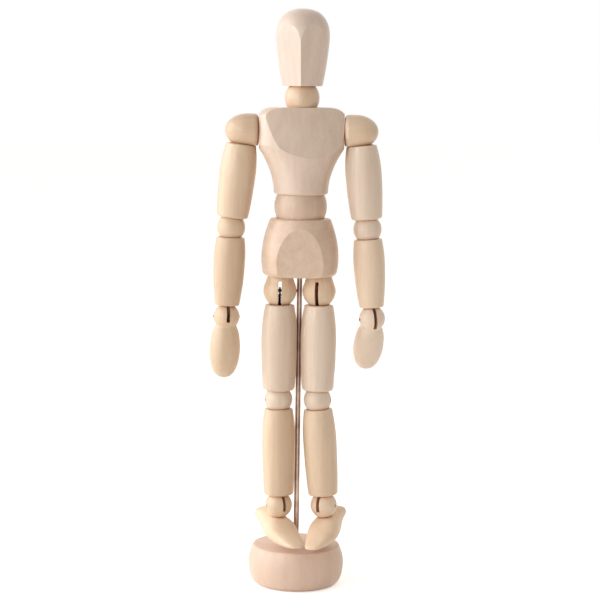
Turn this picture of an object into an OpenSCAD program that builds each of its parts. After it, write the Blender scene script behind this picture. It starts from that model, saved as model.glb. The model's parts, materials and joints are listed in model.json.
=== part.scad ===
// Wooden artist mannequin on a rod and a round base, posed standing.
// Turned and sanded wooden pieces meet at slotted balls. A steel pin crosses each ball,
// and the wire eyes of the springs inside the limbs hook on that pin.
// The figure faces -Y. Its own right side is at -X and its own left side at +X.
// Origin: centre of the base's underside. Lists of two values are [right, left].

/* [Stand] */
// Height of the base
base_height = 21; // [18:0.5:21]
// Largest radius of the base, at its bulge
base_bulge_r = 25.5; // [24.5:0.5:30]
// Radius of the base's flat underside
base_foot_r = 20.5; // [17:0.5:22]
// Radius of the base's top, before its edge is rounded
base_top_r = 23.4; // [21:0.2:24]
// Rounding of the base's top edge
base_edge = 1.2; // [0.6:0.2:3]
// Radius of the support rod
rod_r = 1.45; // [1:0.05:1.6]
// Depth of the rod's seat in the base
rod_seat = 15; // [8:0.5:16]
// Depth of the rod's hole in the pelvis
rod_grip = 20; // [10:0.5:22]
// How far the figure stands in front of the rod
figure_forward = 5; // [4.9:0.1:6]

/* [Lengths] */
// Height of the ankle ball centres
ankle_z = 43.2; // [43:0.1:46]
// Length from ankle centre to knee centre
shin_span = 57; // [54:0.1:62]
// Length from knee centre to hip centre
thigh_span = 57.9; // [54:0.1:62]
// Length from hip centre to the pelvis underside
hip_seat = 8; // [7.6:0.1:8.6]
// Height of the pelvis block
pelvis_height = 30.2; // [29:0.1:36]
// Length from the waist centre to each of its seams
waist_seat = 6.3; // [5.8:0.05:7]
// Height of the chest block
chest_height = 45.2; // [44:0.1:50]
// Length from the chest's top to the neck centre
neck_rise = 4.9; // [4.6:0.1:5.6]
// Length from the neck centre to the chin
chin_rise = 6.1; // [5.8:0.1:6.6]
// Height of the head from chin to crown
head_height = 39.9; // [37:0.1:44]

/* [Torso] */
// Half width of the head at its widest
head_r = 13.9; // [13:0.1:16]
// Half width of the head at the chin
chin_r = 10.6; // [10:0.1:12]
// Depth of the head over its width
head_depth_ratio = 1.14; // [1.08:0.01:1.3]
// Angle of each face facet away from the front
face_angle = 34; // [28:1:42]
// Turn of the head
head_yaw = -4; // [-10:1:10]
// Radius of the neck ball
neck_r = 9.05; // [8.6:0.05:9.5]
// Half width of the chest block across its flat sides
chest_half_width = 22.2; // [21.6:0.1:22.6]
// Height of the chest's crease above its underside
chest_crease = 23.8; // [22:0.2:26]
// Half width of the chest at its underside
chest_low_r = 14.3; // [13.9:0.1:15]
// Half depth of the chest at its underside
chest_low_depth = 14; // [13.8:0.1:15]
// Half depth of the chest at its crease
chest_depth = 17.5; // [16.5:0.1:19]
// Half depth of the chest where its top starts to round
chest_top_depth = 15.2; // [14.5:0.1:16.5]
// Rounding of the chest's underside edge
chest_low_edge = 1.6; // [1:0.1:2.4]
// Rounding of the chest's top: across, front to back and upwards
chest_top_round = [8.4, 6.8, 6]; // [5:0.1:10]
// Lean of the flat on the chest's front
chest_flat_lean = 16.5; // [10:0.5:20]
// Distance of that flat from the mid-line at the crease
chest_flat_y = 16.1; // [15.4:0.1:16.8]
// Radius of the waist ball
waist_r = 13.8; // [13.2:0.1:14.4]
// Half width of the pelvis at its widest
pelvis_r = 20.3; // [19.6:0.1:22]
// Half width of the pelvis at its top
pelvis_top_r = 16.4; // [15.6:0.1:18]
// Depth of the pelvis over its width
pelvis_depth_ratio = 0.86; // [0.82:0.01:1]
// Rounding of the pelvis at its lower and at its upper edge
pelvis_edge = [3, 1.6]; // [1:0.1:4]
// Distance of the flat on the pelvis's front from the mid-line, at the underside
pelvis_flat_y = 13.4; // [12.6:0.1:14.4]
// Lean of that flat
pelvis_flat_lean = 3.8; // [2:0.1:6]

/* [Arms] */
// Distance from the mid-plane to the shoulder centres
shoulder_x = 30.7; // [30.4:0.1:32]
// Height of the chest's top above the shoulder centres
shoulder_drop = 12.3; // [11.5:0.1:13]
// Radius of the shoulder's ball, in the arm's cup
shoulder_r = 9.3; // [9:0.1:9.6]
// Radius of the shoulder round its own axis
shoulder_dome_r = 8.8; // [8.4:0.1:9]
// Length from the shoulder centre in to where its dome starts
shoulder_dome_start = 2.4; // [1.6:0.1:3]
// Rounding of the shoulder's edge beside the chest
shoulder_edge = 2.4; // [1.2:0.1:3]
// Length from shoulder centre to elbow centre
upper_arm_span = 51; // [48:0.1:56]
// Length from shoulder centre to the upper arm's top
arm_seat = 7.2; // [6.8:0.1:7.6]
// Largest radius of the upper arm
upper_arm_r = 9.5; // [8.8:0.1:9.8]
// Radius of the elbow ball
elbow_r = 7.45; // [7.2:0.05:7.9]
// Length from elbow centre to the limb ends that it carries
elbow_seat = 5.2; // [4.8:0.1:5.5]
// Length from elbow centre to wrist centre
forearm_span = 47.2; // [45:0.1:52]
// Largest radius of the forearm
forearm_r = 8.3; // [7.9:0.1:9]
// Radius of the wrist ball
wrist_r = 6.9; // [6.6:0.1:7.2]
// Length from wrist centre to the forearm's end
wrist_seat = 6.05; // [5.6:0.05:6.2]
// Length of the hand from wrist centre to fingertips
hand_length = 32.4; // [29:0.1:38]
// Half width of the hand
hand_r = 8.15; // [7.8:0.05:9]
// Thickness of the hand over its width
hand_flatness = 0.82; // [0.7:0.01:1]
// Outward lean of each upper arm
arm_lean = [6.3, 5]; // [4:0.1:8]
// Outward lean of each forearm
forearm_lean = [2.4, 4]; // [1:0.1:6]
// Inward turn of each hand
hand_turn = [12, -16]; // [-30:1:30]
// Forward bend of each hand
hand_bend = [0, -30]; // [-30:1:10]

/* [Legs] */
// Distance from the mid-plane to the hip centres
hip_x = 10.3; // [10.25:0.05:11.2]
// Radius of the hip ball
hip_r = 8.75; // [8.6:0.05:9]
// Radius of the hip ball's collar under the pelvis
hip_collar_r = 6.6; // [5.5:0.1:7]
// Length from hip centre to the thigh's top
thigh_seat = 7.4; // [6.9:0.1:7.8]
// Largest radius of the thigh
thigh_r = 9.45; // [8.8:0.05:9.5]
// Radius of the knee ball
knee_r = 7.35; // [7.2:0.05:7.8]
// Length from knee centre to the limb ends that it carries
knee_seat = 5; // [4.7:0.1:5.3]
// Largest radius of the shin
shin_r = 8.9; // [8.3:0.1:9]
// Radius of the ankle ball
ankle_r = 7.1; // [6.9:0.05:7.4]
// Length from ankle centre to the shin's end
ankle_seat = 5.7; // [5.4:0.1:6]
// Length from ankle centre to the foot's seat
foot_seat = 6; // [5.8:0.1:6.4]
// Length from ankle centre to the sole
sole_drop = 17.9; // [17:0.1:18]
// Length from ankle centre to the toe tip
toe_length = 25.5; // [20:0.1:25.6]
// Length from ankle centre to the heel tip
heel_length = 19.4; // [17:0.1:20]
// Half width of the foot
foot_r = 7.3; // [6.6:0.1:7.5]
// Sideways lean of each shin away from the mid-plane
shin_lean = [-0.8, 4.2]; // [-1:0.1:5]
// Inward turn of each hip ball on its peg
hip_yaw = [0, 10]; // [0:1:12]
// Inward turn of the pins in the knees
knee_turn = [20, 20]; // [10:1:25]
// Inward turn of each ankle ball
ankle_turn = [29, 29]; // [20:1:32]
// Inward turn of each foot on its ankle ball
foot_turn = [-3, -9]; // [-12:1:3]
// Toe-down pitch of the feet
toe_down = 4.5; // [3:0.5:5]

/* [Pins, wires and springs] */
// Radius of the cross pins
pin_r = 0.8; // [0.7:0.05:0.85]
// Radius of the pegs that neck, waist, shoulders and hips turn on
peg_r = 1; // [0.8:0.05:1.2]
// Radius of the wire of hooks and eyes
wire_r = 0.48; // [0.3:0.01:0.5]
// Radius of the bores for the springs
bore_r = 2.6; // [2.5:0.05:2.9]
// Outer radius of the springs
spring_r = 2.2; // [2:0.05:2.3]
// Wall of the springs' close-wound coils
spring_wall = 0.7; // [0.5:0.05:0.9]
// Width of the open slots in shoulders, hips, wrists and ankles
slot_width = 1.9; // [1.7:0.05:2.2]
// Width of the hidden slots in knees, elbows, waist and neck
hidden_slot_width = 2.9; // [2.8:0.05:3.2]

/* [Fits] */
// Clearance between a ball and the cup that it turns in
cup_gap = 0.3; // [0.2:0.01:0.4]
// Clearance between a pin and the wire eye on it
eye_gap = 0.12; // [0.1:0.01:0.16]
// Clearance of a pin, peg or rod in its hole
pin_gap = 0.04; // [0.03:0.01:0.06]
// Clearance between pieces that meet face to face
seat_gap = 0.25; // [0.2:0.01:0.35]

/* [Hidden] */
$fn = 64;
far = 100;
sign = [-1, 1];
WOOD = "#e8d3b8";
WARM_WOOD = "#ddb98c";
STEEL = "#8a8078";
DARK_STEEL = "#5a4a3e";

// Heights worked up from the ankles
figure_y = -figure_forward;
knee_z = ankle_z + shin_span;
hip_z = knee_z + thigh_span;
pelvis_z = hip_z + hip_seat;
pelvis_top_z = pelvis_z + pelvis_height;
waist_z = pelvis_top_z + waist_seat;
chest_z = waist_z + waist_seat;
chest_top_z = chest_z + chest_height;
neck_z = chest_top_z + neck_rise;
chin_z = neck_z + chin_rise;
shoulder_z = chest_top_z - shoulder_drop;

// Wire eyes: ring radius, and the sideways place of two eyes on one pin
eye_r = pin_r + eye_gap + wire_r;
eye_side = wire_r + 0.06;
// Thickness of the cap at the ends of a spring or a hook's shank
cap = 0.8;
// Room that a hidden slot leaves either side of a limb's line
hidden_swing = 33;
// Top of the hip slot above the hip centre, and depth of the wrist and ankle slots below theirs
hip_slot_top = 5.4;
wrist_slot_depth = 2.5;
ankle_slot_depth = eye_r + wire_r + seat_gap;
// Lengths of the pegs beyond the seams that they cross
peg_reach = 12;
// Wood left between the end of a peg or pin and the slot beside it
peg_wall = 0.4;
// Room of the arm's hook in the shoulder: from a little inside straight down to past level
arm_swing_low = 254;
arm_swing_high = 374;
// Radius and depth of the spigot under an ankle ball
spigot_r = 2;
spigot_depth = 5;
// Wood between the shoulders' bore and the bores for the springs of waist and neck
bore_wall = [1.2, 0.5];
waist_spring_top = shoulder_z - bore_r - bore_wall[0];
neck_spring_low = shoulder_z + bore_r + bore_wall[1];
// How far a pin ends inside the ball that it crosses
pin_inset = 0.4;
// Depth that a peg's hole leaves in a ball, as a share of its radius
peg_share = 0.4;
// How far a spring or hook starts inside its limb's end
spring_inset = 5;
// Stand-out of the visible pin ends
pin_out = 0.7;

// Moves and turns as matrices, so that pieces and joint axes share one chain
function move(v) = [[1, 0, 0, v[0]], [0, 1, 0, v[1]], [0, 0, 1, v[2]], [0, 0, 0, 1]];
function turn_x(a) = [[1, 0, 0, 0], [0, cos(a), -sin(a), 0], [0, sin(a), cos(a), 0], [0, 0, 0, 1]];
function turn_y(a) = [[cos(a), 0, sin(a), 0], [0, 1, 0, 0], [-sin(a), 0, cos(a), 0], [0, 0, 0, 1]];
function turn_z(a) = [[cos(a), -sin(a), 0, 0], [sin(a), cos(a), 0, 0], [0, 0, 1, 0], [0, 0, 0, 1]];

// Places of the joints. Each limb hangs along -Z of its own place, its pin along X.
function mid_place(z) = move([0, figure_y, z]);
function shoulder_place(s) = move([sign[s] * shoulder_x, figure_y, shoulder_z]);
function arm_place(s) = shoulder_place(s) * turn_y(-sign[s] * arm_lean[s]);
function elbow_place(s) = arm_place(s) * move([0, 0, -upper_arm_span]);
function forearm_place(s) = elbow_place(s) * turn_y(sign[s] * (arm_lean[s] - forearm_lean[s]));
function wrist_place(s) = forearm_place(s) * move([0, 0, -forearm_span]) * turn_z(-sign[s] * hand_turn[s]);
function hand_place(s) = wrist_place(s) * turn_x(-hand_bend[s]);
function hip_place(s) = move([sign[s] * hip_x, figure_y, hip_z]) * turn_z(-sign[s] * hip_yaw[s]);
function thigh_end(s) = move([sign[s] * hip_x, figure_y, knee_z]);
function knee_place(s) = thigh_end(s) * turn_z(-sign[s] * knee_turn[s]);
function shin_place(s) = thigh_end(s) * turn_y(-sign[s] * shin_lean[s]) * turn_z(-sign[s] * knee_turn[s]);
function ankle_place(s) = shin_place(s) * move([0, 0, -shin_span])
    * turn_z(sign[s] * (knee_turn[s] - ankle_turn[s])) * turn_x(toe_down);
function foot_place(s) = ankle_place(s) * turn_z(-sign[s] * foot_turn[s]);

// Points of an arc from angle a to angle b
function arc(c, r, a, b, n = 6) = [for (i = [0:n]) let (t = a + (b - a) * i / n) c + r * [cos(t), sin(t)]];
function side_of(v) = v < 0 ? -1 : 1;

// Outline of a turned limb from its top at z = 0 down to -length: one bulge between two eased ends
function limb_outline(length, r_top, r_mid, r_low, mid, ease_top, ease_low, n = 7) = concat(
    [[0, 0]],
    arc([r_top - ease_top, -ease_top], ease_top, 90, 0),
    [for (i = [1:n]) let (t = 1 - i / n) [r_mid - (r_mid - r_top) * t * t, -mid + (mid - ease_top) * t]],
    [for (i = [1:n]) let (t = i / n) [r_mid - (r_mid - r_low) * t * t, -mid - (length - ease_low - mid) * t]],
    arc([r_low - ease_low, -length + ease_low], ease_low, 0, -90),
    [[0, -length]]
);

module turned_limb(length, r_top, r_mid, r_low, mid, ease_top, ease_low) {
    rotate_extrude() polygon(limb_outline(length, r_top, r_mid, r_low, mid, ease_top, ease_low));
}

// Ring of wire round a pin along X
module eye(side) {
    translate([side, 0, 0]) rotate([0, 90, 0]) rotate_extrude() translate([eye_r, 0]) circle(wire_r);
}

// Shank of wire down -Z from an eye, running a little into the coil or cap that it holds
module shank(side, reach) {
    eye(side);
    translate([side, 0, -reach - cap / 2]) cylinder(r = wire_r, h = reach + cap / 2 - eye_r);
}

// Swivel hook: a shank with a round cap on the limb's line
module hook(reach) {
    shank(0, reach);
    translate([0, 0, -reach - cap]) cylinder(r = spring_r, h = cap);
}

// Close-wound tension spring down -Z, with closed end coils
module coils(length) {
    difference() {
        translate([0, 0, -length]) cylinder(r = spring_r, h = length);
        translate([0, 0, -length + cap]) cylinder(r = spring_r - spring_wall, h = length - 2 * cap);
    }
}

module cross_pin(inner, outer) {
    translate([-inner, 0, 0]) rotate([0, 90, 0]) cylinder(r = pin_r, h = inner + outer);
}

// Hole for a pin along X from -inner to outer
module pin_hole(inner, outer) {
    translate([-inner, 0, 0]) rotate([0, 90, 0]) cylinder(r = pin_r + pin_gap, h = inner + outer);
}

// Room for a shank that swings about a pin along X. 90 is straight up, 270 straight down.
module fan_slot(width, reach, a, b) {
    room = wire_r + 0.1;
    low = room * [sin(a), -cos(a)];
    high = room * [-sin(b), cos(b)];
    rotate([90, 0, 90]) translate([0, 0, -width / 2]) linear_extrude(width) polygon(concat(
        [low, low + reach * [cos(a), sin(a)]],
        arc([0, 0], reach, a, b, 4),
        [high + reach * [cos(b), sin(b)], high]
    ));
    rotate([0, 90, 0]) cylinder(r = eye_r + wire_r + seat_gap, h = width, center = true);
}

// Slots above and below the pin of a ball between two limbs
module hidden_slots(r, ends) {
    for (end = ends) fan_slot(hidden_slot_width, 2 * r, end - hidden_swing, end + hidden_swing);
}

// Rings of a carved piece are ovals, n being their squareness
function oval(a, b, n, count) = [for (i = [0:count - 1]) let (t = 360 * i / count, c = cos(t), d = sin(t))
    [a * side_of(c) * pow(abs(c), 2 / n), b * side_of(d) * pow(abs(d), 2 / n)]];

// Skin over equal rings of points, closed at both ends
module skin(rings) {
    n = len(rings[0]);
    m = len(rings);
    polyhedron(
        points = [for (ring = rings) each ring],
        faces = concat(
            [for (j = [0:m - 2], i = [0:n - 1]) let (k = (i + 1) % n)
                [j * n + i, (j + 1) * n + i, (j + 1) * n + k]],
            [for (j = [0:m - 2], i = [0:n - 1]) let (k = (i + 1) % n)
                [j * n + i, (j + 1) * n + k, j * n + k]],
            [[for (i = [0:n - 1]) i]],
            [[for (i = [n - 1:-1:0]) (m - 1) * n + i]]
        )
    );
}

module base() {
    waist = 0.55 * base_height;
    upper = base_height - base_edge - waist;
    color(WOOD) difference() {
        rotate_extrude() polygon(concat(
            [[0, 0]],
            [for (a = [0:9:90])
                [base_foot_r + (base_bulge_r - base_foot_r) * sin(a), waist * (1 - cos(a))]],
            [for (t = [0.2:0.2:1])
                [base_bulge_r - (base_bulge_r - base_top_r) * t * t, waist + upper * t]],
            arc([base_top_r - base_edge, base_height - base_edge], base_edge, 15, 90),
            [[0, base_height]]
        ));
        translate([0, 0, base_height - rod_seat]) cylinder(r = rod_r + pin_gap, h = rod_seat + 1);
    }
}

module rod() {
    foot_z = base_height - rod_seat + seat_gap;
    color(STEEL) translate([0, 0, foot_z]) cylinder(r = rod_r, h = pelvis_z + rod_grip - seat_gap - foot_z);
}

// Rings of the pelvis: height over its underside and half width
function pelvis_rings() = let (
    low = pelvis_edge[0], top = pelvis_edge[1], wide = 0.3 * pelvis_height, draw_in = 0.6
) concat(
    [for (a = [0:18:90]) [low * (1 - cos(a)), pelvis_r - draw_in - low * (1 - sin(a))]],
    [for (t = [0.33, 0.67, 1]) [low + (wide - low) * t, pelvis_r - draw_in * (1 - t) * (1 - t)]],
    [for (i = [1:7]) let (t = i / 7)
        [wide + (pelvis_height - top - wide) * t, pelvis_r - (pelvis_r - pelvis_top_r) * t * t]],
    [for (a = [30:20:90]) [pelvis_height - top * (1 - sin(a)), pelvis_top_r - top * (1 - cos(a))]]
);

module pelvis() {
    ring_points = 44;
    color(WOOD) difference() {
        multmatrix(mid_place(pelvis_z)) skin([for (r = pelvis_rings())
            [for (p = oval(r[1], r[1] * pelvis_depth_ratio, 2, ring_points)) [p[0], p[1], r[0]]]]);
        multmatrix(mid_place(pelvis_z)) translate([0, -pelvis_flat_y, 0]) rotate([pelvis_flat_lean, 0, 0])
            translate([-far, -far, -far]) cube([2 * far, far, 2 * far]);
        multmatrix(mid_place(waist_z)) sphere(waist_r + cup_gap);
        multmatrix(mid_place(waist_z)) translate([0, 0, -waist_r - peg_reach - seat_gap])
            cylinder(r = peg_r + pin_gap, h = waist_r);
        for (s = [0, 1]) multmatrix(hip_place(s))
            cylinder(r = peg_r + pin_gap, h = hip_r + peg_reach + seat_gap);
        translate([0, 0, pelvis_z - 1]) cylinder(r = rod_r + pin_gap, h = rod_grip + 1);
    }
}

module waist() {
    color(WOOD) multmatrix(mid_place(waist_z)) difference() {
        sphere(waist_r);
        hidden_slots(waist_r, [90]);
        pin_hole(waist_r - 2, 2 * waist_r);
        translate([0, 0, -2 * waist_r]) cylinder(r = peg_r + pin_gap, h = (2 - peg_share) * waist_r);
    }
}

module waist_pins() {
    color(DARK_STEEL) multmatrix(mid_place(waist_z)) {
        cross_pin(waist_r - 2 - seat_gap, waist_r - 1.5);
        translate([0, 0, -waist_r - peg_reach])
            cylinder(r = peg_r, h = (1 - peg_share) * waist_r + peg_reach - seat_gap);
    }
}

// Rings of the chest: height over the underside, half width, half depth, squareness.
// A rounded edge, a flare up to the crease, an upright block and a rounded top.
function chest_rings() = let (
    c = chest_crease, w = chest_half_width, h = chest_height, e = chest_low_edge, round = chest_top_round,
    side_room = 1, shoulder = h - round[2], belly_curve = 1.8, depth_curve = 1.2
) concat(
    [for (a = [0:30:60])
        [e * (1 - cos(a)), chest_low_r - e * (1 - sin(a)), chest_low_depth - e * (1 - sin(a)), 2]],
    [for (i = [0:7]) let (t = i / 7)
        [e + (c - e) * t, chest_low_r + (w - chest_low_r) * pow(t, belly_curve),
            chest_low_depth + (chest_depth - chest_low_depth) * pow(t, depth_curve), 2 + 0.35 * t]],
    [for (t = [0.12, 0.5, 1]) [c + (shoulder - c) * t, w + side_room,
        chest_depth - (chest_depth - chest_top_depth) * t, 2.4 + 0.1 * t]],
    [for (a = [22.5:22.5:90]) [h - round[2] * (1 - sin(a)), w + side_room - round[0] * (1 - cos(a)),
        chest_top_depth - round[1] * (1 - cos(a)), 2.5]]
);

module chest() {
    ring_points = 40;
    color(WOOD) difference() {
        multmatrix(mid_place(chest_z))
            skin([for (r = chest_rings())
                [for (p = oval(r[1], r[2], r[3], ring_points)) [p[0], p[1], r[0]]]]);
        multmatrix(mid_place(chest_z)) {
            for (k = sign) translate([k * (chest_half_width + far), 0, 0]) cube(2 * far, center = true);
            translate([0, -chest_flat_y, chest_crease]) rotate([-chest_flat_lean, 0, 0])
                translate([-far, -far, -far]) cube([2 * far, far, 2 * far]);
        }
        multmatrix(mid_place(waist_z)) sphere(waist_r + cup_gap);
        multmatrix(mid_place(waist_z)) cylinder(r = bore_r, h = waist_spring_top - waist_z);
        multmatrix(mid_place(neck_z)) sphere(neck_r + cup_gap);
        multmatrix(mid_place(neck_spring_low)) cylinder(r = bore_r, h = far);
        multmatrix(mid_place(shoulder_z)) rotate([0, 90, 0]) cylinder(r = bore_r, h = far, center = true);
    }
}

module waist_spring() {
    reach = waist_r + spring_inset;
    top = waist_spring_top - seat_gap;
    color(STEEL) multmatrix(mid_place(waist_z)) rotate([180, 0, 0]) {
        shank(0, reach);
        translate([0, 0, -reach]) coils(top - waist_z - reach);
    }
}

module neck_spring() {
    reach = neck_r + cap;
    low = neck_spring_low + seat_gap;
    color(STEEL) multmatrix(mid_place(neck_z)) {
        shank(0, reach);
        translate([0, 0, -reach]) coils(neck_z - low - reach);
    }
}

module shoulder_spring() {
    half = chest_half_width - peg_reach - seat_gap;
    color(STEEL) multmatrix(mid_place(shoulder_z)) rotate([0, 90, 0]) translate([0, 0, half]) coils(2 * half);
}

module neck() {
    color(WARM_WOOD) multmatrix(mid_place(neck_z)) difference() {
        sphere(neck_r);
        hidden_slots(neck_r, [270]);
        pin_hole(neck_r - 1.6, 2 * neck_r);
        translate([0, 0, peg_share * neck_r]) cylinder(r = peg_r + pin_gap, h = 2 * neck_r);
    }
}

module neck_pins() {
    color(DARK_STEEL) multmatrix(mid_place(neck_z)) {
        cross_pin(neck_r - 1.6 - seat_gap, neck_r - 1.2);
        translate([0, 0, peg_share * neck_r + seat_gap])
            cylinder(r = peg_r, h = (1 - peg_share) * neck_r + peg_reach - seat_gap);
    }
}

module head() {
    wide = 0.64 * head_height;
    crown = head_height - wide;
    squareness = 2.3;
    chin_ease = 0.8;
    ridge_chin = 11.6;
    ridge_lean = 10.5;
    outline = concat(
        [[0, 0]],
        arc([chin_r - chin_ease, chin_ease], chin_ease, -90, 0, 3),
        [for (i = [1:10]) let (t = 1 - i / 10)
            [head_r - (head_r - chin_r) * pow(t, 1.5), wide - (wide - chin_ease) * t]],
        [for (i = [1:12]) let (a = 90 * i / 12)
            [head_r * pow(max(cos(a), 0), 2 / squareness), wide + crown * pow(sin(a), 2 / squareness)]]
    );
    color(WOOD) multmatrix(mid_place(chin_z) * turn_z(head_yaw)) difference() {
        scale([1, head_depth_ratio, 1]) rotate_extrude() polygon(outline);
        translate([0, -ridge_chin, 0]) rotate([ridge_lean, 0, 0]) for (m = [0, 1]) mirror([m, 0, 0])
            rotate([0, 0, face_angle]) translate([-far, -far, -far]) cube([2 * far, far, 2 * far]);
        translate([0, 0, -chin_rise]) sphere(neck_r + cup_gap);
        translate([0, 0, -chin_rise]) cylinder(r = peg_r + pin_gap, h = neck_r + peg_reach + seat_gap);
    }
}

// The shoulder is a dome turned on its own axis, cut level with the arm's top, over a ball in the arm's cup.
// Both sides are drawn with the arm towards +X, and the right one is mirrored.
module shoulder(s) {
    inner = shoulder_x - chest_half_width - seat_gap;
    start = shoulder_dome_start;
    color(WARM_WOOD) multmatrix(shoulder_place(s)) mirror([1 - s, 0, 0]) difference() {
        union() {
            difference() {
                rotate([0, 90, 0]) rotate_extrude() polygon(concat(
                    [[0, -inner]],
                    arc([shoulder_dome_r - shoulder_edge, shoulder_edge - inner], shoulder_edge, -90, 0),
                    [for (a = [0:7.5:90]) [shoulder_dome_r * cos(a), (shoulder_r + start) * sin(a) - start]]
                ));
                arm_top_cut(s);
            }
            intersection() {
                sphere(shoulder_r);
                arm_top_cut(s);
            }
        }
        rotate([0, 0, -90]) {
            fan_slot(slot_width, 2 * shoulder_r, arm_swing_low, arm_swing_high);
            pin_hole(shoulder_r - 2, shoulder_r - 2);
        }
        rotate([0, -90, 0]) translate([0, 0, peg_share * shoulder_r]) cylinder(r = peg_r + pin_gap, h = far);
    }
}

// Everything below the top of an arm that hangs at its lean
module arm_top_cut(s) {
    rotate([0, -arm_lean[s], 0]) translate([-far, -far, -2 * far - arm_seat + seat_gap]) cube(2 * far);
}

module shoulder_pins(s) {
    reach = shoulder_x - chest_half_width + peg_reach;
    color(DARK_STEEL) multmatrix(shoulder_place(s)) mirror([1 - s, 0, 0]) {
        rotate([0, 0, -90]) cross_pin(shoulder_r - 2 - seat_gap, shoulder_r - 2 - seat_gap);
        rotate([0, -90, 0]) {
            translate([0, 0, peg_share * shoulder_r + seat_gap])
                cylinder(r = peg_r, h = reach - peg_share * shoulder_r - 2 * seat_gap);
            translate([0, 0, reach - peg_reach + 1]) cylinder(r = bore_r - pin_gap, h = peg_reach / 2);
        }
    }
}

module shoulder_hook(s) {
    color(STEEL) multmatrix(arm_place(s)) rotate([0, 0, 90]) hook(shoulder_r + spring_inset);
}

module upper_arm(s) {
    length = upper_arm_span - arm_seat - elbow_seat;
    color(WOOD) multmatrix(arm_place(s)) difference() {
        translate([0, 0, -arm_seat]) 
            turned_limb(length, upper_arm_r - 1.5, upper_arm_r, upper_arm_r - 1.2, 0.36 * length, 0.8, 1.6);
        sphere(shoulder_r + cup_gap);
        translate([0, 0, -upper_arm_span]) {
            sphere(elbow_r + cup_gap);
            cylinder(r = bore_r, h = upper_arm_span);
        }
    }
}

module upper_arm_spring(s) {
    top = shoulder_r + spring_inset + cap + seat_gap;
    low = upper_arm_span - elbow_r - spring_inset;
    color(STEEL) multmatrix(arm_place(s)) {
        translate([0, 0, -top]) coils(low - top);
        translate([0, 0, -upper_arm_span]) rotate([180, 0, 0]) shank(eye_side, elbow_r + spring_inset);
    }
}

module elbow(s) {
    color(WOOD) multmatrix(elbow_place(s)) difference() {
        sphere(elbow_r);
        hidden_slots(elbow_r, [90, 270]);
        pin_hole(2 * elbow_r, 2 * elbow_r);
    }
}

module elbow_pin(s) {
    color(DARK_STEEL) multmatrix(elbow_place(s)) cross_pin(elbow_r - pin_inset, elbow_r - pin_inset);
}

module forearm(s) {
    length = forearm_span - elbow_seat - wrist_seat;
    color(WOOD) multmatrix(forearm_place(s)) difference() {
        translate([0, 0, -elbow_seat]) 
            turned_limb(length, forearm_r - 0.8, forearm_r, forearm_r - 1.8, 0.32 * length, 0.8, 0.8);
        sphere(elbow_r + cup_gap);
        translate([0, 0, -forearm_span]) {
            sphere(wrist_r + cup_gap);
            cylinder(r = bore_r, h = forearm_span);
        }
    }
}

module forearm_spring(s) {
    top = elbow_r + spring_inset;
    low = forearm_span - wrist_r - spring_inset - cap - seat_gap;
    color(STEEL) multmatrix(forearm_place(s)) {
        shank(-eye_side, top);
        translate([0, 0, -top]) coils(low - top);
    }
}

module wrist_hook(s) {
    color(STEEL) multmatrix(wrist_place(s)) rotate([180, 0, 0]) hook(wrist_r + spring_inset);
}

// Rings of the hand's egg from the wrist to the fingertips: height, half width, half thickness
function hand_rings() = let (middle = 17.6, half = hand_length - middle, blunt = 0.6)
    [for (a = [12:12:168]) let (r = hand_r * pow(sin(a), blunt))
        [half * cos(a) - middle, r, r * hand_flatness]];

module hand(s) {
    ring_points = 28;
    color(WARM_WOOD) multmatrix(hand_place(s)) difference() {
        union() {
            sphere(wrist_r);
            skin([for (r = hand_rings()) [for (p = oval(r[1], r[2], 2, ring_points)) [p[0], -p[1], r[0]]]]);
        }
        translate([-slot_width / 2, -far, -wrist_slot_depth]) cube([slot_width, 2 * far, far]);
        pin_hole(2 * wrist_r, 2 * wrist_r);
    }
}

module wrist_pin(s) {
    color(DARK_STEEL) multmatrix(hand_place(s)) cross_pin(wrist_r + 0.1, wrist_r + 0.1);
}

module hip_ball(s) {
    collar_low = 2;
    color(WOOD) multmatrix(hip_place(s)) difference() {
        union() {
            sphere(hip_r);
            translate([0, 0, collar_low])
                cylinder(r1 = sqrt(hip_r * hip_r - collar_low * collar_low) - 0.1, r2 = hip_collar_r,
                    h = hip_seat - seat_gap - collar_low);
        }
        translate([-far, -far, hip_seat - seat_gap]) cube(2 * far);
        translate([-slot_width / 2, -far, hip_slot_top - 2 * far]) cube([slot_width, 2 * far, 2 * far]);
        pin_hole(2 * hip_r, 2 * hip_r);
        translate([0, 0, hip_slot_top + peg_wall]) cylinder(r = peg_r + pin_gap, h = far);
    }
}

module hip_pins(s) {
    color(DARK_STEEL) multmatrix(hip_place(s)) {
        rotate([0, 0, s * 180]) cross_pin(hip_r - pin_inset, hip_r + (s == 0 ? pin_out : -pin_inset));
        translate([0, 0, hip_slot_top + peg_wall + seat_gap / 2])
            cylinder(r = peg_r, h = hip_r + peg_reach - hip_slot_top - peg_wall - seat_gap / 2);
    }
}

module thigh(s) {
    length = thigh_span - thigh_seat - knee_seat;
    color(WOOD) multmatrix(hip_place(s)) difference() {
        translate([0, 0, -thigh_seat]) 
            turned_limb(length, thigh_r - 1.7, thigh_r, thigh_r - 1, 0.4 * length, 0.8, 1.8);
        sphere(hip_r + cup_gap);
        translate([0, 0, -thigh_span]) {
            sphere(knee_r + cup_gap);
            cylinder(r = bore_r, h = thigh_span);
        }
    }
}

module thigh_spring(s) {
    top = hip_r + spring_inset;
    low = thigh_span - knee_r - spring_inset;
    color(STEEL) multmatrix(hip_place(s)) {
        shank(0, top);
        translate([0, 0, -top]) coils(low - top);
        translate([0, 0, -thigh_span]) rotate([0, 0, sign[s] * (hip_yaw[s] - knee_turn[s])])
            rotate([180, 0, 0]) shank(eye_side, knee_r + spring_inset);
    }
}

module knee(s) {
    color(WOOD) multmatrix(knee_place(s)) difference() {
        sphere(knee_r);
        hidden_slots(knee_r, [90, 270]);
        pin_hole(2 * knee_r, 2 * knee_r);
    }
}

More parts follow.
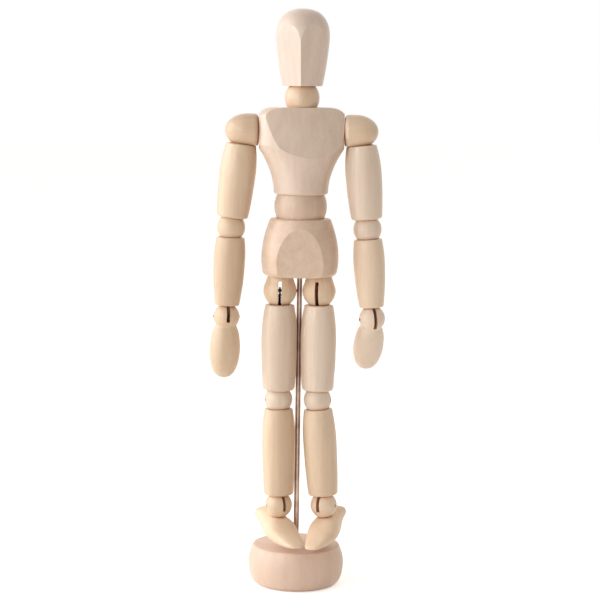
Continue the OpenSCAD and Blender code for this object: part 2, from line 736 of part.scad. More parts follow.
module knee_pin(s) {
    color(DARK_STEEL) multmatrix(knee_place(s)) cross_pin(knee_r - pin_inset, knee_r - pin_inset);
}

module shin(s) {
    length = shin_span - knee_seat - ankle_seat;
    color(WOOD) multmatrix(shin_place(s)) difference() {
        translate([0, 0, -knee_seat]) 
            turned_limb(length, shin_r - 1.3, shin_r, shin_r - 1, 0.35 * length, 0.8, 1.4);
        sphere(knee_r + cup_gap);
        translate([0, 0, -shin_span]) {
            sphere(ankle_r + cup_gap);
            cylinder(r = bore_r, h = shin_span);
        }
    }
}

module shin_spring(s) {
    top = knee_r + spring_inset;
    low = shin_span - ankle_r - spring_inset;
    color(STEEL) multmatrix(shin_place(s)) {
        shank(-eye_side, top);
        translate([0, 0, -top]) coils(low - top);
        translate([0, 0, -shin_span]) rotate([0, 0, sign[s] * (knee_turn[s] - ankle_turn[s])])
            rotate([180, 0, 0]) shank(0, ankle_r + spring_inset);
    }
}

module ankle(s) {
    color(WARM_WOOD) multmatrix(ankle_place(s)) difference() {
        union() {
            sphere(ankle_r);
            translate([0, 0, -ankle_r - spigot_depth]) cylinder(r = spigot_r, h = ankle_r + spigot_depth);
        }
        translate([-slot_width / 2, -far, -ankle_slot_depth]) cube([slot_width, 2 * far, far]);
        pin_hole(2 * ankle_r, 2 * ankle_r);
    }
}

module ankle_pin(s) {
    color(DARK_STEEL) multmatrix(ankle_place(s)) cross_pin(ankle_r - pin_inset, ankle_r - pin_inset);
}

// Rings of the foot from heel to toe: place along the foot, half width, underside, top.
// The heel runs out to a blunt point above the sole, and the top falls from the ankle to the toe.
function foot_rings() = let (t = toe_length, h = heel_length, w = foot_r, d = -sole_drop, u = -foot_seat) [
    [h, 2, d + 6.6, u - 3.6], [h - 0.4, 3.4, d + 5.6, u - 2.6], [h - 1.4, 4.9, d + 4.4, u - 1.6],
    [h - 3.4, 6.2, d + 3, u - 0.6], [h - 6, w - 0.6, d + 1.6, u + 0.2], [h - 8.8, w - 0.3, d + 0.7, u + 0.6],
    [h - 11.6, w - 0.1, d + 0.2, u + 0.6], [h - 14.6, w, d, u + 0.4], [0, w, d, u], [-0.2 * t, w, d, u - 0.4],
    [-0.36 * t, w - 0.2, d, u - 2], [-0.52 * t, w - 0.8, d, u - 4.2], [-0.68 * t, w - 1.7, d + 0.1, u - 6.3],
    [-0.82 * t, w - 2.6, d + 0.5, u - 8], [-0.92 * t, w - 3.5, d + 1.1, u - 9],
    [-0.98 * t, w - 4.5, d + 1.7, u - 9.5], [-t, w - 5.7, d + 2.3, u - 9.9]
];

module foot(s) {
    ring_points = 28;
    squareness = 2.5;
    color(WARM_WOOD) multmatrix(foot_place(s)) difference() {
        skin([for (r = foot_rings()) [for (p = oval(r[1], (r[3] - r[2]) / 2, squareness, ring_points))
            [p[0], r[0], (r[3] + r[2]) / 2 + p[1]]]]);
        sphere(ankle_r + cup_gap);
        translate([0, 0, -ankle_r - spigot_depth - seat_gap]) cylinder(r = spigot_r + pin_gap, h = ankle_r);
    }
}

base();
rod();
pelvis();
waist();
waist_pins();
chest();
waist_spring();
neck_spring();
shoulder_spring();
neck();
neck_pins();
head();
shoulder(0);  // right_shoulder
shoulder_pins(0);  // right_shoulder_pins
shoulder_hook(0);  // right_shoulder_hook
upper_arm(0);  // right_upper_arm
upper_arm_spring(0);  // right_upper_arm_spring
elbow(0);  // right_elbow
elbow_pin(0);  // right_elbow_pin
forearm(0);  // right_forearm
forearm_spring(0);  // right_forearm_spring
wrist_hook(0);  // right_wrist_hook
hand(0);  // right_hand
wrist_pin(0);  // right_wrist_pin
hip_ball(0);  // right_hip_ball
hip_pins(0);  // right_hip_pins
thigh(0);  // right_thigh
thigh_spring(0);  // right_thigh_spring
knee(0);  // right_knee
knee_pin(0);  // right_knee_pin
shin(0);  // right_shin
shin_spring(0);  // right_shin_spring
ankle(0);  // right_ankle
ankle_pin(0);  // right_ankle_pin
foot(0);  // right_foot
shoulder(1);  // left_shoulder
shoulder_pins(1);  // left_shoulder_pins
shoulder_hook(1);  // left_shoulder_hook
upper_arm(1);  // left_upper_arm
upper_arm_spring(1);  // left_upper_arm_spring
elbow(1);  // left_elbow
elbow_pin(1);  // left_elbow_pin
forearm(1);  // left_forearm
forearm_spring(1);  // left_forearm_spring
wrist_hook(1);  // left_wrist_hook
hand(1);  // left_hand
wrist_pin(1);  // left_wrist_pin
hip_ball(1);  // left_hip_ball
hip_pins(1);  // left_hip_pins
thigh(1);  // left_thigh
thigh_spring(1);  // left_thigh_spring
knee(1);  // left_knee
knee_pin(1);  // left_knee_pin
shin(1);  // left_shin
shin_spring(1);  // left_shin_spring
ankle(1);  // left_ankle
ankle_pin(1);  // left_ankle_pin
foot(1);  // left_foot
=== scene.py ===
"""Wooden artist mannequin: turned limbs, carved blocks and feet, bare sanded wood, steel rod.

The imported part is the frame. Places come from its joints, in metres. Sizes of the wooden forms are in
millimetres, in each piece's own place, and MM turns them into metres.
"""

import json
import math

import bmesh
import bpy
import numpy as np
from mathutils import Matrix, Vector, noise


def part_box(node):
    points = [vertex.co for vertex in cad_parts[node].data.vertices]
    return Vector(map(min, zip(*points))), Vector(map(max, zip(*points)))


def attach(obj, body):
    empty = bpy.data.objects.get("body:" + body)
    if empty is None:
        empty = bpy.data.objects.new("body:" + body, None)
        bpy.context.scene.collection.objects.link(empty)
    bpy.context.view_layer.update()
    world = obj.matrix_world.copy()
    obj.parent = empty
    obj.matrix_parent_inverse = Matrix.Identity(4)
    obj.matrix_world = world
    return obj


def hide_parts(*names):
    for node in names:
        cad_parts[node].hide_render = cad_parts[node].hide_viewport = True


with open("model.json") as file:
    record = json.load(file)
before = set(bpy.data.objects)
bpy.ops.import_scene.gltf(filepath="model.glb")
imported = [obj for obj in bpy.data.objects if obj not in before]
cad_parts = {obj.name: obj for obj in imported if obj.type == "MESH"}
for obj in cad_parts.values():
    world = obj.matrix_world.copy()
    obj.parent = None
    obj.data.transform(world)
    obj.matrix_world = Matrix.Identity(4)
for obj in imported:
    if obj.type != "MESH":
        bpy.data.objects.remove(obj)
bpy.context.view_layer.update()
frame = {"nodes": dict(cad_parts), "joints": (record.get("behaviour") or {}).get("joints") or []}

MM = 0.001
AROUND = 128
GAP = 0.15
SEAT_GAP = 0.25
BORE_R = 2.6

joints = {j["name"]: j for j in frame["joints"]}


def centre(joint):
    return Vector(joints[joint]["pos_m"])


def axis(joint):
    return Vector(joints[joint]["axis"]).normalized()


# Places


def hanging(top, low):
    """Place at top whose -Z runs to low."""
    turn = Vector((0, 0, -1)).rotation_difference((low - top).normalized())
    return Matrix.Translation(top) @ turn.to_matrix().to_4x4()


def standing(point, yaw=0.0):
    return Matrix.Translation(point) @ Matrix.Rotation(yaw, 4, "Z")


def on_pin(point, across, up):
    """Place at point with X along the pin and Z as near up as the pin allows."""
    x = across.normalized()
    y = up.cross(x).normalized()
    z = x.cross(y)
    rows = [[x[i], y[i], z[i], point[i]] for i in range(3)]
    return Matrix(rows + [[0, 0, 0, 1]])


# Outlines: lists of (radius, height) in millimetres


def arc(r, z, radius, start, end, steps):
    turns = [math.radians(start + (end - start) * i / steps) for i in range(steps + 1)]
    return [(r + radius * math.cos(a), z + radius * math.sin(a)) for a in turns]


CORNER_STEPS = 4
CORNER_LIMIT = 25.0
CORNER_SHARE = 0.45


def soften(points, radius):
    """Round every corner of a closed outline that is sharper than CORNER_LIMIT degrees."""
    soft = []
    for i, corner in enumerate(points):
        here = np.array(corner, float)
        before = np.array(points[i - 1], float) - here
        after = np.array(points[(i + 1) % len(points)], float) - here
        lengths = [np.linalg.norm(before), np.linalg.norm(after)]
        cosine = float(np.dot(before, after)) / max(lengths[0] * lengths[1], 1e-12)
        bend = 180.0 - math.degrees(math.acos(max(-1.0, min(1.0, cosine))))
        if bend < CORNER_LIMIT:
            soft.append(tuple(here))
            continue
        back = here + before / lengths[0] * min(radius, CORNER_SHARE * lengths[0])
        on = here + after / lengths[1] * min(radius, CORNER_SHARE * lengths[1])
        for s in range(CORNER_STEPS + 1):
            t = s / CORNER_STEPS
            soft.append(tuple((1 - t) ** 2 * back + 2 * t * (1 - t) * here + t * t * on))
    return soft


def smooth_rows(rows, steps):
    """Rows of numbers with a smooth curve through them (Catmull-Rom)."""
    rows = np.array(rows, float)
    ends = np.vstack([2 * rows[0] - rows[1], rows, 2 * rows[-1] - rows[-2]])
    out = []
    for i in range(1, len(ends) - 2):
        a, b, c, d = ends[i - 1 : i + 3]
        for s in range(steps):
            t = s / steps
            bend = (2 * a - 5 * b + 4 * c - d) * t**2 + (3 * b - a - 3 * c + d) * t**3
            out.append(0.5 * (2 * b + (c - a) * t + bend))
    out.append(rows[-1])
    return np.array(out)


def soft_max(values, blend):
    """The greatest of the values, with a rounded change from one to the next."""
    values = np.array(values)
    high = values.max(axis=0)
    return high + blend * np.log(np.exp((values - high) / blend).sum(axis=0))


TURN = np.linspace(0, 2 * math.pi, AROUND, endpoint=False)
COS = np.cos(TURN)
SIN = np.sin(TURN)


def oval_reach(a, b, squareness=2.0):
    """Distance from the middle to an oval's edge, for each direction."""
    return (np.abs(COS / a) ** squareness + np.abs(SIN / b) ** squareness) ** (-1 / squareness)


# Meshes


def grid(rings, loop=False):
    """Vertices and faces of a skin over equal rings of points.

    A loop joins the last ring to the first. Otherwise both ends are closed.
    """
    rings = np.array(rings, float)
    count, around = rings.shape[:2]
    verts = [tuple(p) for p in rings.reshape(-1, 3)]
    faces = []
    for j in range(count if loop else count - 1):
        k = (j + 1) % count
        for i in range(around):
            n = (i + 1) % around
            faces.append((j * around + i, j * around + n, k * around + n, k * around + i))
    if not loop:
        for end in (0, count - 1):
            verts.append(tuple(rings[end].mean(axis=0)))
            start = end * around
            faces += [(start + i, start + (i + 1) % around, len(verts) - 1) for i in range(around)]
    return verts, faces


SANDING_SCALE = 0.22
SANDING_STRETCH = 0.5
SANDING_SHIFT = (7.1, 3.7, 5.3)


def uneven(verts, place, amount, seed):
    """Hand-sanded surface: every point moves in or out by up to about amount millimetres."""
    moved = []
    offset = Vector([seed * shift for shift in SANDING_SHIFT])
    for v in verts:
        p = Vector(v)
        out = Vector((p.x, p.y, 0))
        if out.length > 1e-6:
            spot = Vector((p.x, p.y, p.z * SANDING_STRETCH)) * SANDING_SCALE + offset
            p += out.normalized() * amount * noise.noise(spot)
        moved.append(place @ (p * MM))
    return moved


SAME_POINT = 1e-7
TURNED_EDGE = 38.0
CUT_EDGE = 14.0


def settle(mesh, sharp_degrees):
    """Merge equal points, turn faces outward and shade smooth up to sharp_degrees."""
    work = bmesh.new()
    work.from_mesh(mesh)
    bmesh.ops.remove_doubles(work, verts=work.verts, dist=SAME_POINT)
    bmesh.ops.recalc_face_normals(work, faces=work.faces)
    work.to_mesh(mesh)
    work.free()
    mesh.shade_smooth()
    mesh.set_sharp_from_angle(angle=math.radians(sharp_degrees))


def new_object(name, verts, faces):
    mesh = bpy.data.meshes.new(name)
    mesh.from_pydata([tuple(v) for v in verts], [], faces)
    obj = bpy.data.objects.new(name, mesh)
    bpy.context.scene.collection.objects.link(obj)
    settle(mesh, TURNED_EDGE)
    return obj


def shaped(name, place, make):
    """Object at place whose mesh is what make fills in."""
    mesh = bpy.data.meshes.new(name)
    work = bmesh.new()
    make(work)
    work.to_mesh(mesh)
    work.free()
    obj = bpy.data.objects.new(name, mesh)
    bpy.context.scene.collection.objects.link(obj)
    obj.matrix_world = place
    return obj


FAR = 80.0
BALL_AROUND = 96
BALL_ROWS = 64
HOLE_AROUND = 40


def ball_cutter(point, radius_mm):
    def make(work):
        bmesh.ops.create_uvsphere(work, u_segments=BALL_AROUND, v_segments=BALL_ROWS, radius=radius_mm * MM)

    return shaped("cutter", Matrix.Translation(point), make)


def block_cutter(place, low, high):
    def make(work):
        bmesh.ops.create_cube(work, size=1.0)
        for v in work.verts:
            v.co = Vector([(low[i] if v.co[i] < 0 else high[i]) * MM for i in range(3)])

    return shaped("cutter", place, make)


def rod_cutter(place, radius_mm, length_mm):
    """Round hole along the place's Z."""

    def make(work):
        r = radius_mm * MM
        bmesh.ops.create_cone(
            work, segments=HOLE_AROUND, radius1=r, radius2=r, depth=length_mm * MM, cap_ends=True
        )

    return shaped("cutter", place, make)


def plane_cutter(place):
    """Everything on the -Y side of the place's XZ plane."""
    return block_cutter(place, (-FAR, -FAR, -FAR), (FAR, 0, FAR))


def prism_cutter(place, low_edge, high_edge):
    """Solid between two equal closed outlines of points in millimetres."""
    n = len(low_edge)
    verts = [place @ (Vector(point) * MM) for point in low_edge + high_edge]
    faces = [tuple(range(n)), tuple(range(2 * n - 1, n - 1, -1))]
    faces += [(i, n + i, n + (i + 1) % n, (i + 1) % n) for i in range(n)]
    return new_object("cutter", verts, faces)


BOW_HALF = math.radians(40)
BOW_POINTS = 61


def bowed_cutter(place, radius_mm):
    """As plane_cutter, but bowed out towards -Y round an upright axis."""
    turns = np.linspace(-BOW_HALF, BOW_HALF, BOW_POINTS)
    edge = [(radius_mm * math.sin(a), radius_mm * (1 - math.cos(a))) for a in turns]
    edge += [(FAR, -FAR), (-FAR, -FAR)]
    low, high = ([(x, y, z) for x, y in edge] for z in (-FAR, FAR))
    return prism_cutter(place, low, high)


def cut(obj, tools):
    """Take the tools out of obj."""
    for tool in tools:
        step = obj.modifiers.new("cut", "BOOLEAN")
        step.operation = "DIFFERENCE"
        step.solver = "EXACT"
        step.object = tool
    bpy.context.view_layer.update()
    shape = obj.evaluated_get(bpy.context.evaluated_depsgraph_get())
    mesh = bpy.data.meshes.new_from_object(shape)
    obj.modifiers.clear()
    old = obj.data
    obj.data = mesh
    bpy.data.meshes.remove(old)
    mesh.name = obj.name
    for tool in tools:
        bpy.data.objects.remove(tool)
    settle(mesh, CUT_EDGE)


def join(obj, other):
    """Add the other object's mesh to obj's."""
    other.data.transform(other.matrix_world)
    work = bmesh.new()
    work.from_mesh(obj.data)
    work.from_mesh(other.data)
    work.to_mesh(obj.data)
    work.free()
    bpy.data.objects.remove(other)


def stand_for(obj, node, body, material):
    """Show obj in place of a node, moving with a body."""
    obj.data.materials.clear()
    obj.data.materials.append(materials[material])
    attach(obj, body)
    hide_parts(node)


# Materials


class Nodes:
    """A material's node tree, with short calls for the nodes used here."""

    def __init__(self, name):
        self.material = bpy.data.materials.new(name)
        self.material.use_nodes = True
        self.tree = self.material.node_tree
        self.shader = self.tree.nodes["Principled BSDF"]

    def add(self, kind, settings=None, **inputs):
        node = self.tree.nodes.new("ShaderNode" + kind)
        for key, value in (settings or {}).items():
            setattr(node, key, value)
        for key, value in inputs.items():
            self.set(node.inputs[key.replace("_", " ")], value)
        return node

    def set(self, socket, value):
        if isinstance(value, bpy.types.NodeSocket):
            self.tree.links.new(value, socket)
        else:
            socket.default_value = value

    def math(self, operation, a, b=None):
        node = self.tree.nodes.new("ShaderNodeMath")
        node.operation = operation
        self.set(node.inputs[0], a)
        if b is not None:
            self.set(node.inputs[1], b)
        return node.outputs[0]

    def ramp(self, factor, stops):
        node = self.tree.nodes.new("ShaderNodeValToRGB")
        self.set(node.inputs[0], factor)
        elements = node.color_ramp.elements
        for i, (position, value) in enumerate(stops):
            element = elements[i] if i < 2 else elements.new(position)
            element.position = position
            element.color = (value, value, value, 1)
        return node.outputs[0]

    def mix(self, factor, a, b):
        node = self.tree.nodes.new("ShaderNodeMix")
        node.data_type = "RGBA"
        self.set(node.inputs[0], factor)
        for socket, value in ((node.inputs[6], a), (node.inputs[7], b)):
            self.set(socket, value if isinstance(value, bpy.types.NodeSocket) else (*value, 1))
        return node.outputs[2]


def linear(red, green, blue):
    """Screen colour, 0 to 255, as scene-linear. No channel is near black."""
    return tuple(((c / 255 + 0.055) / 1.055) ** 2.4 for c in (red, green, blue))


def grain_scale(grain, along, across):
    """Scale of a texture that is stretched along one axis."""
    return tuple(along if name == grain else across for name in "xyz")


# Painted shade: the warm brown mixed into the wood where ambient occlusion finds slots, seams and crevices,
# how far the occlusion looks in metres, and its ramp from occlusion to strength
PAINTED_SHADE_BROWN = linear(208, 146, 100)
PAINTED_SHADE_REACH = 0.006
PAINTED_SHADE_STOPS = [(0.06, 1.0), (0.2, 0.7), (0.36, 0.0)]
SHEEN = 0.6
COAT = 0.5
GLOSS_ROUGHNESS = 0.3


def wood(name, light, dark, grain="z", speckle=0.14, contrast=0.7, pore_size=0.1, gloss=1.0, shade=1.0):
    """Bare sanded wood: soft growth figure, fine fibres, short pores, and painted brown shade in slots,
    seams and crevices.
    """
    n = Nodes(name)
    spot = n.add("TexCoord").outputs["Object"]
    random = n.add("ObjectInfo").outputs["Random"]
    aside = n.math("MULTIPLY", random, 3.1)
    upward = n.math("MULTIPLY", random, 5.7)
    shift = n.add("CombineXYZ", X=aside, Y=random, Z=upward)
    apart = n.add("VectorMath", {"operation": "ADD"})
    n.set(apart.inputs[0], spot)
    n.set(apart.inputs[1], shift.outputs[0])

    def stretched(along, across):
        scale = grain_scale(grain, along, across)
        return n.add("Mapping", Vector=apart.outputs[0], Scale=scale).outputs[0]

    def noisy(along, across, **inputs):
        return n.add("TexNoise", Vector=stretched(along, across), Scale=1.0, **inputs)

    figure = noisy(7, 190, Detail=4.0, Roughness=0.55, Distortion=0.5)
    fibre = noisy(60, 1500, Detail=5.0, Roughness=0.62)
    cloud = noisy(24, 40, Detail=2.0, Roughness=0.5)
    pore = n.add("TexVoronoi", Vector=stretched(180, 1500), Scale=1.0, Randomness=1.0)

    tone = n.math("MULTIPLY", n.ramp(figure.outputs["Fac"], [(0.34, 0.0), (0.66, 1.0)]), contrast)
    colour = n.mix(tone, light, dark)
    fibres = n.ramp(fibre.outputs["Fac"], [(0.38, 0.0), (0.72, 1.0)])
    colour = n.mix(n.math("MULTIPLY", fibres, 0.2), colour, tuple(0.74 * c for c in dark))
    patches = n.ramp(cloud.outputs["Fac"], [(0.35, 0.0), (0.7, 1.0)])
    colour = n.mix(n.math("MULTIPLY", patches, 0.25), colour, tuple(min(1.0, 1.06 * c) for c in light))
    flecks = n.ramp(pore.outputs["Distance"], [(pore_size, 1.0), (2.6 * pore_size, 0.0)])
    colour = n.mix(n.math("MULTIPLY", flecks, speckle), colour, tuple(0.5 * c for c in dark))
    # Painted shade: the colour goes towards the warm brown where occlusion is high; shade scales how much
    # of it a wood gets
    occlusion = n.add("AmbientOcclusion", {"samples": 6}, Distance=PAINTED_SHADE_REACH)
    painted_shade = n.ramp(occlusion.outputs["AO"], PAINTED_SHADE_STOPS)
    colour = n.mix(n.math("MULTIPLY", painted_shade, shade), colour, PAINTED_SHADE_BROWN)
    n.set(n.shader.inputs["Base Color"], colour)
    n.set(n.shader.inputs["Roughness"], n.ramp(fibre.outputs["Fac"], [(0.3, 0.48), (0.75, 0.64)]))
    # Specular, sheen and coat fade where the painted shade lies
    clear = n.math("SUBTRACT", 1.0, painted_shade)
    levels = {"Specular IOR Level": 0.45, "Sheen Weight": SHEEN * gloss, "Coat Weight": COAT * gloss}
    for socket, level in levels.items():
        n.set(n.shader.inputs[socket], n.math("MULTIPLY", clear, level))
    n.shader.inputs["Sheen Roughness"].default_value = GLOSS_ROUGHNESS
    n.shader.inputs["Coat Roughness"].default_value = GLOSS_ROUGHNESS
    raised = n.math("MULTIPLY", fibre.outputs["Fac"], 0.7)
    depth = n.math("SUBTRACT", raised, n.math("MULTIPLY", flecks, 0.5))
    bump = n.add("Bump", Strength=0.3, Distance=0.00005, Height=depth)
    n.set(n.shader.inputs["Normal"], bump.outputs[0])
    return n.material


def steel(name, light, dark, roughness, along="z", metallic=1.0):
    """Drawn wire: fine lines along it, dull patches."""
    n = Nodes(name)
    spot = n.add("TexCoord").outputs["Object"]
    lines = n.add("Mapping", Vector=spot, Scale=grain_scale(along, 30, 2600))
    drawn = n.add("TexNoise", Vector=lines.outputs[0], Scale=1.0, Detail=4.0, Roughness=0.6)
    patch = n.add("TexNoise", Vector=spot, Scale=140.0, Detail=3.0, Roughness=0.6)
    worn = n.ramp(patch.outputs["Fac"], [(0.35, 0.0), (0.7, 1.0)])
    colour = n.mix(worn, light, dark)
    colour = n.mix(n.math("MULTIPLY", drawn.outputs["Fac"], 0.4), colour, dark)
    n.set(n.shader.inputs["Base Color"], colour)
    n.shader.inputs["Metallic"].default_value = metallic
    n.shader.inputs["Specular IOR Level"].default_value = 0.25
    rough = n.ramp(drawn.outputs["Fac"], [(0.3, roughness - 0.08), (0.7, roughness + 0.1)])
    n.set(n.shader.inputs["Roughness"], rough)
    bump = n.add("Bump", Strength=0.25, Distance=0.00003, Height=drawn.outputs["Fac"])
    n.set(n.shader.inputs["Normal"], bump.outputs[0])
    return n.material


PALE = (linear(238, 219, 200), linear(222, 199, 176))
CREAM = (linear(243, 220, 195), linear(232, 204, 174))
MILK = (linear(246, 227, 207), linear(233, 210, 188))
BUTTER = (linear(248, 222, 194), linear(238, 207, 174))
BLUSH = (linear(230, 211, 197), linear(216, 193, 177))
PINK = (linear(227, 207, 190), linear(213, 189, 170))
FAWN = (linear(229, 208, 188), linear(213, 188, 163))
ROSE = (linear(233, 206, 186), linear(223, 192, 171))
TAN = (linear(228, 202, 179), linear(212, 183, 158))
DUSK = (linear(220, 194, 173), linear(206, 178, 155))
GOLD = (linear(231, 206, 177), linear(214, 184, 151))
STRAW = (linear(236, 211, 183), linear(221, 192, 161))
AMBER = (linear(227, 202, 175), linear(210, 180, 149))
HONEY = (linear(219, 192, 163), linear(203, 172, 141))

materials = {
    "pale": wood("pale_wood", *PALE),
    "cream": wood("cream_wood", *CREAM),
    "milk": wood("milk_wood", *MILK),
    "butter_y": wood("butter_wood_along_foot", *BUTTER, grain="y", gloss=0.3),
    "fawn": wood("fawn_wood", *FAWN),
    "tan_end": wood("tan_wood_end_grain", *TAN, grain="y", speckle=0.17, pore_size=0.15),
    "rose": wood("rose_wood", *ROSE, contrast=0.6, gloss=0.5, shade=0.3),
    "blush": wood("blush_wood", *BLUSH),
    "pink": wood("pink_wood", *PINK),
    "dusk": wood("dusk_wood", *DUSK),
    "gold": wood("gold_wood", *GOLD),
    "amber": wood("amber_wood", *AMBER),
    "straw": wood("straw_wood", *STRAW),
    "straw_x": wood("straw_wood_across", *STRAW, grain="x"),
    "honey": wood("honey_wood", *HONEY),
    "honey_x": wood("honey_wood_across", *HONEY, grain="x"),
    "rod": steel("rod_steel", linear(214, 198, 186), linear(160, 140, 126), 0.34),
    "pin_end": steel("filled_pin_end", linear(226, 202, 178), linear(208, 180, 152), 0.6, "x", 0.0),
    "pin": steel("pin_steel", linear(176, 112, 70), linear(118, 70, 42), 0.6, "x", 0.35),
    "wire": steel("spring_wire", linear(176, 112, 70), linear(118, 70, 42), 0.6, "z", 0.35),
}


# Turned limbs

# Radii and lengths of each limb: upper ball, its seat, lower ball, its seat, then the limb's own radii
# at the top, the bulge and the low end, the bulge's place as a share of the length, and both ends' rounding
LIMBS = {
    "upper_arm": (9.3, 7.2, 7.45, 5.2, 8.0, 9.5, 8.3, 0.36, 0.8, 1.6),
    "forearm": (7.45, 5.2, 6.9, 6.05, 7.5, 8.3, 6.5, 0.32, 0.8, 0.8),
    "thigh": (8.75, 7.4, 7.35, 5.0, 7.75, 9.45, 8.45, 0.40, 0.8, 1.8),
    "shin": (7.35, 5.0, 7.1, 5.7, 7.6, 8.9, 7.9, 0.35, 0.8, 1.4),
}
LIMB_ENDS = {
    "upper_arm": ("arm_raise", "elbow_upper"),
    "forearm": ("elbow_lower", "wrist_swing"),
    "thigh": ("hip_swing", "knee_upper"),
    "shin": ("knee_lower", "ankle_swing"),
}
LIMB_WOOD = {
    "right": {"upper_arm": "amber", "forearm": "honey", "thigh": "fawn", "shin": "gold"},
    "left": {"upper_arm": "pale", "forearm": "cream", "thigh": "pale", "shin": "straw"},
}


LIMB_SOFT = 0.22
LIMB_UNEVEN = 0.07


def limb_outline(span, sizes):
    """Closed outline of a limb of that span between its balls' centres, with a bore from cup to cup."""
    top_ball, top_seat, low_ball, low_seat, r_top, r_mid, r_low, mid_share, ease_top, ease_low = sizes
    top_cup = top_ball + GAP
    low_cup = low_ball + GAP
    length = span - top_seat - low_seat
    mid = top_seat + mid_share * length
    low = span - low_seat
    bore_top = math.degrees(math.asin(BORE_R / top_cup))
    bore_low = math.degrees(math.asin(BORE_R / low_cup))
    rim_top = math.degrees(math.acos(top_seat / top_cup))
    rim_low = math.degrees(math.acos(low_seat / low_cup))
    points = arc(0, 0, top_cup, 270 + bore_top, 270 + rim_top, 10)
    points += arc(r_top - ease_top, -top_seat - ease_top, ease_top, 90, 0, 7)
    for t in np.linspace(1, 0, 15)[1:]:
        points.append((r_mid - (r_mid - r_top) * t * t, -mid + (mid - top_seat - ease_top) * t))
    for t in np.linspace(0, 1, 19)[1:]:
        points.append((r_mid - (r_mid - r_low) * t * t, -mid - (low - ease_low - mid) * t))
    points += arc(r_low - ease_low, -low + ease_low, ease_low, 0, -90, 9)[1:]
    points += arc(0, -span, low_cup, 90 - rim_low, 90 - bore_low, 10)
    return soften(points, LIMB_SOFT)


def lathe(outline):
    return [[(r * c, r * s, z) for c, s in zip(COS, SIN)] for r, z in outline]


seed = 0
for side in ("right", "left"):
    for limb, sizes in LIMBS.items():
        seed += 1
        first, second = (centre(f"{side}_{j}") for j in LIMB_ENDS[limb])
        span = (second - first).length / MM
        verts, faces = grid(lathe(limb_outline(span, sizes)), loop=True)
        place = hanging(first, second)
        piece = new_object(f"{side}_{limb}_turned", uneven(verts, place, LIMB_UNEVEN, seed), faces)
        stand_for(piece, f"{side}_{limb}", f"{side}_{limb}", LIMB_WOOD[side][limb])


# Base

BASE_FOOT_R = 20.5
BASE_FOOT_FLAT = 6.0
BASE_BULGE_R = 25.5
BASE_BULGE_SHARE = 0.55
BASE_TOP_R = 23.4
BASE_TOP_RINGS = (4, 10, 15)
BASE_EDGE = 1.2
BASE_FOOT_EDGE = 0.7
BASE_UNEVEN = 0.06
ROD_R = 1.45
ROD_ROOM = 0.05
ROD_HOLE_DEPTH = 15.0
LOW_HOLE_ROOM = 0.6


def base_outline(height):
    bulge = BASE_BULGE_SHARE * height
    points = [(BASE_FOOT_R - BASE_FOOT_FLAT, 0.0), (BASE_FOOT_R, 0.0)]
    for a in np.radians(np.linspace(0, 90, 21))[2:]:
        r = BASE_FOOT_R + (BASE_BULGE_R - BASE_FOOT_R) * math.sin(a)
        points.append((r, bulge * (1 - math.cos(a))))
    for t in np.linspace(0, 1, 13)[1:]:
        r = BASE_BULGE_R - (BASE_BULGE_R - BASE_TOP_R) * t * t
        points.append((r, bulge + (height - BASE_EDGE - bulge) * t))
    points += arc(BASE_TOP_R - BASE_EDGE, height - BASE_EDGE, BASE_EDGE, 12, 90, 10)
    points += [(BASE_TOP_R - BASE_EDGE - k, height) for k in BASE_TOP_RINGS]
    hole = ROD_R + ROD_ROOM
    low_hole = ROD_R + LOW_HOLE_ROOM
    floor_of_hole = height - ROD_HOLE_DEPTH
    points += [(hole, height), (hole, floor_of_hole), (low_hole, floor_of_hole), (low_hole, 0.0)]
    return soften(points, BASE_FOOT_EDGE)


base_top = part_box("base")[1].z
verts, faces = grid(lathe(base_outline(base_top / MM)), loop=True)
base = new_object("base_turned", uneven(verts, Matrix.Identity(4), BASE_UNEVEN, seed=21), faces)
stand_for(base, "base", "stand", "rose")


# Head

# How far sanding leaves the carved blocks from true
BLOCK_UNEVEN = 0.05
HEAD_HEIGHT = 39.9
HEAD_WIDEST = 0.64
HEAD_R = 13.9
CHIN_R = 10.6
CHIN_EASE = 0.8
CHIN_RISE = 6.1
HEAD_DEPTH = 1.14
HEAD_SQUARENESS = 2.3
HEAD_YAW = math.radians(-4)
RIDGE_CHIN = 11.6
RIDGE_LEAN = math.radians(10.5)
FACE_ANGLE = math.radians(34)
NECK_R = 9.05


def ring(reach, z):
    return [(r * x, r * y, z) for r, x, y in zip(reach, COS, SIN)]


def cup_rings(ball, height, rim):
    """Rings of a cup from its deepest point to its rim, height being that of the ball's centre."""
    cup = ball + GAP
    turns = np.radians(np.linspace(2, math.degrees(math.asin(rim / cup)), 10))
    return [ring(np.full(AROUND, cup * math.sin(a)), height + cup * math.cos(a)) for a in turns]


def cup_rim(ball, seat):
    return math.sqrt((ball + GAP) ** 2 - seat**2)


def head_rings():
    wide = HEAD_WIDEST * HEAD_HEIGHT
    crown = HEAD_HEIGHT - wide
    rim = cup_rim(NECK_R, CHIN_RISE)
    rings = cup_rings(NECK_R, -CHIN_RISE, rim)
    sections = []
    for a in np.radians(np.linspace(0, 90, 11)):
        sections.append((CHIN_R - CHIN_EASE * (1 - math.sin(a)), CHIN_EASE * (1 - math.cos(a))))
    for t in np.linspace(1, 0, 36)[1:]:
        sections.append((HEAD_R - (HEAD_R - CHIN_R) * t**1.5, wide - (wide - CHIN_EASE) * t))
    for a in np.radians(np.linspace(0, 90, 40)[1:-1]):
        r = HEAD_R * math.cos(a) ** (2 / HEAD_SQUARENESS)
        sections.append((r, wide + crown * math.sin(a) ** (2 / HEAD_SQUARENESS)))
    return rings + [ring(oval_reach(r, r * HEAD_DEPTH), z) for r, z in sections]


